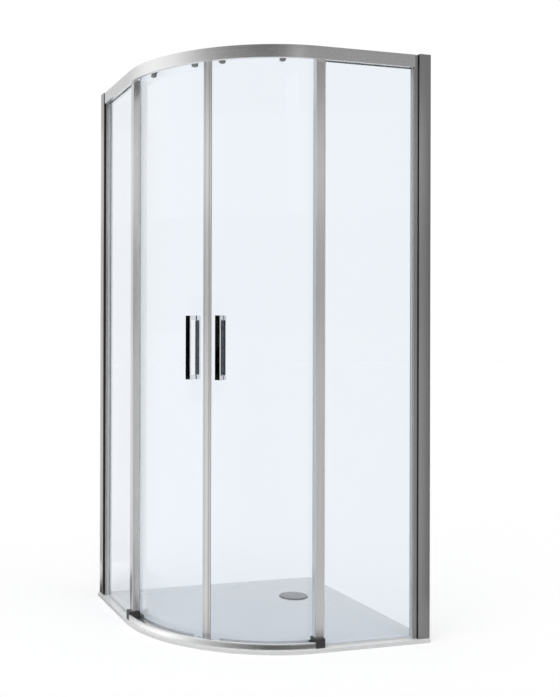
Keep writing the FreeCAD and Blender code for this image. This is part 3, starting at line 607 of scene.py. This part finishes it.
def ballRingTree(finish, b):
    tree = bpy.data.node_groups.new("ballRing", "GeometryNodeTree")
    for label, kind in (("Count", "Int"), ("Ring Radius", "Float"), ("Ball Radius", "Float")):
        tree.interface.new_socket(label, in_out="INPUT", socket_type="NodeSocket" + kind)
    tree.interface.new_socket("Mesh", in_out="OUTPUT", socket_type="NodeSocketGeometry")
    start = tree.nodes.new("NodeGroupInput").outputs
    end = tree.nodes.new("NodeGroupOutput").inputs
    ring = putNode(tree, "GeometryNodeMeshCircle", Radius=start["Ring Radius"],
                   Vertices=start["Count"]).outputs["Mesh"]
    ball = putNode(tree, "GeometryNodeMeshUVSphere", Radius=start["Ball Radius"],
                   Segments=b["ballSides"], Rings=b["ballBands"]).outputs["Mesh"]
    balls = putNode(tree, "GeometryNodeInstanceOnPoints", Points=ring, Instance=ball).outputs["Instances"]
    real = putNode(tree, "GeometryNodeRealizeInstances", Geometry=balls).outputs["Geometry"]
    coated = putNode(tree, "GeometryNodeSetMaterial", Geometry=real, Material=finish).outputs["Geometry"]
    tree.links.new(coated, end["Mesh"])
    return tree


def meshFromNodes(name, tree, values):
    maker = bpy.data.objects.new(name + "Maker", bpy.data.meshes.new(name + "Maker"))
    scene.collection.objects.link(maker)
    modifier = maker.modifiers.new("make", "NODES")
    modifier.node_group = tree
    for item in tree.interface.items_tree:
        if item.in_out == "INPUT":
            modifier[item.identifier] = values[item.name]
    depsgraph = bpy.context.evaluated_depsgraph_get()
    mesh = bpy.data.meshes.new_from_object(maker.evaluated_get(depsgraph), depsgraph=depsgraph)
    mesh.name = name
    bpy.data.objects.remove(maker)
    return mesh


def makeBearingBalls(b):
    tree = ballRingTree(finishes["turnedSteel"], b)
    sizes = {"Count": b["count"], "Ring Radius": b["ringRadius"], "Ball Radius": b["ballRadius"]}
    for joint in joints.values():
        roller = joint["child"]
        if not roller.endswith("_roller"):
            continue
        out = Vector(joint["axis"])
        turn = out.to_track_quat("Z", "Y").to_matrix().to_4x4()
        mesh = meshFromNodes(roller + "Balls", tree, sizes)
        mesh.transform(Matrix.Translation(Vector(joint["pos_m"]) + out * b["faceOut"]) @ turn)
        mesh.shade_smooth()
        piece = bpy.data.objects.new(roller + "Balls", mesh)
        scene.collection.objects.link(piece)
        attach(piece, roller)


makeBearingBalls(bearing)
print("bearing balls made")


# floor, backdrop and light
studio = {
    "floorSize": 60.0,
    "floorDrop": 0.0006,  # keeps the floor clear of the tray's underside
    "floorColour": (0.80, 0.80, 0.80, 1),
    "floorSeen": 1.0,
    "worldLight": 0.30,
    "lampDistance": 5.0,
    # name, bearing, elevation, strength, spread of its disc in degrees
    "suns": (
        ("topSun", 250.0, 72.0, 1.66, 50.0),
        ("frontSun", 215.0, 30.0, 0.26, 40.0),
    ),
}


def seenRays(tree):
    # 1 for rays that come from the camera, off metal or through glass
    path = tree.nodes.new("ShaderNodeLightPath").outputs
    mirrored = mathNode(tree, "MAXIMUM", path["Is Glossy Ray"], path["Is Transmission Ray"])
    return mathNode(tree, "MAXIMUM", path["Is Camera Ray"], mirrored)


def makeFloor(s):
    half = s["floorSize"] / 2
    corners = [(x * half, y * half, -s["floorDrop"]) for x, y in ((-1, -1), (1, -1), (1, 1), (-1, 1))]
    mesh = bpy.data.meshes.new("studioFloor")
    mesh.from_pydata(corners, [], [(0, 1, 2, 3)])
    material, tree, surface = newMaterial("studioFloor")
    matt = putNode(tree, "ShaderNodeBsdfDiffuse", Color=s["floorColour"])
    # the lamps light the open floor by this much, and the glow adds what is missing to floorSeen
    level = s["worldLight"]
    for _, _, rise, strength, _ in s["suns"]:
        level += strength * math.sin(math.radians(rise)) / math.pi
    missing = s["floorSeen"] - s["floorColour"][0] * level
    glow = putNode(tree, "ShaderNodeEmission", Strength=times(tree, seenRays(tree), missing))
    both = tree.nodes.new("ShaderNodeAddShader")
    tree.links.new(matt.outputs[0], both.inputs[0])
    tree.links.new(glow.outputs[0], both.inputs[1])
    tree.links.new(both.outputs[0], surface)
    mesh.materials.append(material)
    floor = bpy.data.objects.new("studioFloor", mesh)
    scene.collection.objects.link(floor)


def makeWorld(s):
    world = bpy.data.worlds.new("studioWorld")
    scene.world = world
    world.use_nodes = True
    tree = world.node_tree
    tree.nodes.clear()
    soft = putNode(tree, "ShaderNodeBackground", Color=(1, 1, 1, 1), Strength=s["worldLight"])
    white = putNode(tree, "ShaderNodeBackground", Color=(1, 1, 1, 1), Strength=1.0)
    output = tree.nodes.new("ShaderNodeOutputWorld")
    tree.links.new(mixShaders(tree, seenRays(tree), soft, white), output.inputs["Surface"])


def makeSuns(s):
    for name, bearingDegrees, riseDegrees, strength, disc in s["suns"]:
        lamp = bpy.data.lights.new(name, "SUN")
        lamp.energy = strength
        lamp.angle = math.radians(disc)
        aim, rise = math.radians(bearingDegrees), math.radians(riseDegrees)
        source = Vector((math.cos(rise) * math.cos(aim), math.cos(rise) * math.sin(aim), math.sin(rise)))
        body = bpy.data.objects.new(name, lamp)
        body.rotation_euler = source.to_track_quat("Z", "Y").to_euler()
        body.location = source * s["lampDistance"]
        body.visible_glossy = False
        body.visible_transmission = False
        scene.collection.objects.link(body)


makeFloor(studio)
makeWorld(studio)
makeSuns(studio)
print("floor, world and suns placed")


# flags: cards that paint reflections which only brushed and polished metal sees, bent round the front curve's
# axis
# foot and head are a flag's (radius, height); greys are (bearing in degrees round from +X, grey of the
# painted reflection)
outerGreys = (
    (95, 0.84), (110, 0.82), (121, 0.62), (132, 0.66), (148, 0.95), (180, 1.0), (205, 0.90), (240, 0.4),
    (279, 0.52), (293, 0.56), (303, 0.36), (312, 0.18), (345, 0.14),
)
flags = {
    "steps": 90,
    "softSide": 0.04,  # share of a flag's length over which each end fades
    "courses": {
        # the floor flags paint a grey floor into the metal's reflections, where the camera sees the floor
        # white
        "sillFloor": {
            "foot": (0.503, 0.0016), "head": (0.66, 0.0016), "strength": 1.25,
            "greys": (
                (128, 0.10), (142, 0.14), (157, 0.30), (171, 0.46), (187, 0.80), (203, 0.94), (219, 0.53),
                (235, 0.24), (251, 0.08), (267, 0.11), (300, 0.115), (325, 0.12),
            ),
        },
        "nearFloor": {
            "foot": (0.66, 0.0014), "head": (1.15, 0.0014), "strength": 1.25,
            "greys": (
                (128, 0.10), (142, 0.14), (157, 0.30), (171, 0.46), (187, 0.80), (203, 0.94), (219, 0.53),
                (235, 0.30), (251, 0.20), (267, 0.42), (290, 0.49), (300, 0.36), (325, 0.14),
            ),
        },
        "farFloor": {"foot": (1.15, 0.0012), "head": (3.4, 0.0012), "strength": 1.0, "greys": outerGreys},
        "lowWall": {"foot": (3.4, 0.0), "head": (3.4, 1.02), "strength": 1.0, "greys": outerGreys},
        "strip": {
            "foot": (3.4, 1.02), "head": (3.4, 1.74), "strength": 1.0,
            "greys": (
                (95, 0.76), (110, 0.76), (121, 0.60), (150, 0.6), (180, 0.5), (215, 0.42), (250, 0.24),
                (270, 0.24), (285, 0.36), (295, 0.44), (303, 0.32), (312, 0.17), (345, 0.14),
            ),
        },
        "midWall": {
            "foot": (3.4, 1.74), "head": (3.4, 2.36), "strength": 1.0,
            "greys": (
                (95, 0.88), (110, 0.86), (121, 0.64), (132, 0.66), (148, 0.95), (168, 1.0), (205, 0.92),
                (219, 0.70), (262, 0.6), (279, 0.86), (293, 0.60), (303, 0.38), (312, 0.18), (345, 0.14),
            ),
        },
        "highWall": {
            "foot": (3.4, 2.36), "head": (3.4, 5.0), "strength": 1.0,
            "greys": (
                (95, 0.54), (105, 0.58), (118, 0.69), (130, 0.78), (143, 0.96), (158, 1.0), (168, 0.93),
                (180, 0.85), (193, 0.61), (206, 0.355), (219, 0.25), (232, 0.155), (250, 0.105),
                (262, 0.115), (283, 0.22), (300, 0.30), (345, 0.31),
            ),
        },
        "postHead": {
            "foot": (3.35, 2.34), "head": (3.35, 2.58), "strength": 1.0,
            "greys": ((269, 0.95), (279.5, 0.95)),
        },
        "behind": {
            "foot": (3.4, 0.02), "head": (3.4, 2.6), "strength": 1.0,
            "greys": ((8, 0.80), (94, 0.80)),
        },
        "gripLeft": {
            "foot": (3.3, 0.60), "head": (3.3, 1.24), "strength": 1.0,
            "greys": ((184, 0.0), (197, 0.0)),
        },
        "gripRight": {
            "foot": (3.3, 0.60), "head": (3.3, 1.24), "strength": 1.0,
            "greys": ((207, 0.0), (218, 0.0)),
        },
    },
}


def flagMaterial(name, course, softSide):
    # the UV map runs 0 to 1 along the bearings; clear glass and what is seen through it look past the flag,
    # metal sees it, also metal that looks out through a pane
    material, tree, surface = newMaterial(name)
    grid = putNode(tree, "ShaderNodeUVMap", {"uv_map": "grid"}).outputs["UV"]
    along = putNode(tree, "ShaderNodeSeparateXYZ", Vector=grid).outputs["X"]
    rise = remap(tree, along, 0.0, softSide, 0.0, 1.0)
    fall = remap(tree, along, 1.0 - softSide, 1.0, 1.0, 0.0)
    path = tree.nodes.new("ShaderNodeLightPath").outputs
    through = path["Is Transmission Ray"]
    past = times(tree, through, mathNode(tree, "LESS_THAN", path["Glossy Depth"], 0.5))
    mirrored = times(tree, minus(tree, 1.0, through), path["Is Singular Ray"])
    seen = minus(tree, 1.0, mathNode(tree, "MAXIMUM", past, mirrored))
    cover = times(tree, times(tree, rise, fall), seen)
    greys = course["greys"]
    first, last = greys[0][0], greys[-1][0]
    ramp = putNode(tree, "ShaderNodeValToRGB", Fac=along)
    while len(ramp.color_ramp.elements) < len(greys):
        ramp.color_ramp.elements.new(1.0)
    for element, (degrees, grey) in zip(ramp.color_ramp.elements, greys):
        element.position = (degrees - first) / (last - first)
        element.color = (grey, grey, grey, 1)
    # the flag's glow is a painted reflection that only metal sees, and no lamp
    shade = putNode(tree, "ShaderNodeEmission", Color=ramp.outputs["Color"], Strength=course["strength"])
    clear = tree.nodes.new("ShaderNodeBsdfTransparent")
    tree.links.new(mixShaders(tree, cover, clear, shade), surface)
    return material


def makeFlag(name, course, steps, softSide):
    first, last = math.radians(course["greys"][0][0]), math.radians(course["greys"][-1][0])
    points = []
    for radius, height in (course["foot"], course["head"]):
        for step in range(steps + 1):
            turn = first + (last - first) * step / steps
            x = curveCentre[0] + radius * math.cos(turn)
            y = curveCentre[1] + radius * math.sin(turn)
            points.append((x, y, height))
    faces = [(i, i + 1, steps + 2 + i, steps + 1 + i) for i in range(steps)]
    mesh = bpy.data.meshes.new(name)
    mesh.from_pydata(points, [], faces)
    layer = mesh.uv_layers.new(name="grid")
    for loop in mesh.loops:
        row, column = divmod(loop.vertex_index, steps + 1)
        layer.data[loop.index].uv = (column / steps, row)
    mesh.materials.append(flagMaterial(name, course, softSide))
    flag = bpy.data.objects.new(name, mesh)
    scene.collection.objects.link(flag)
    flag.visible_camera = False
    flag.visible_diffuse = False
    flag.visible_shadow = False


for name, course in flags["courses"].items():
    makeFlag(name + "Flag", course, flags["steps"], flags["softSide"])
print("flags placed:", len(flags["courses"]))
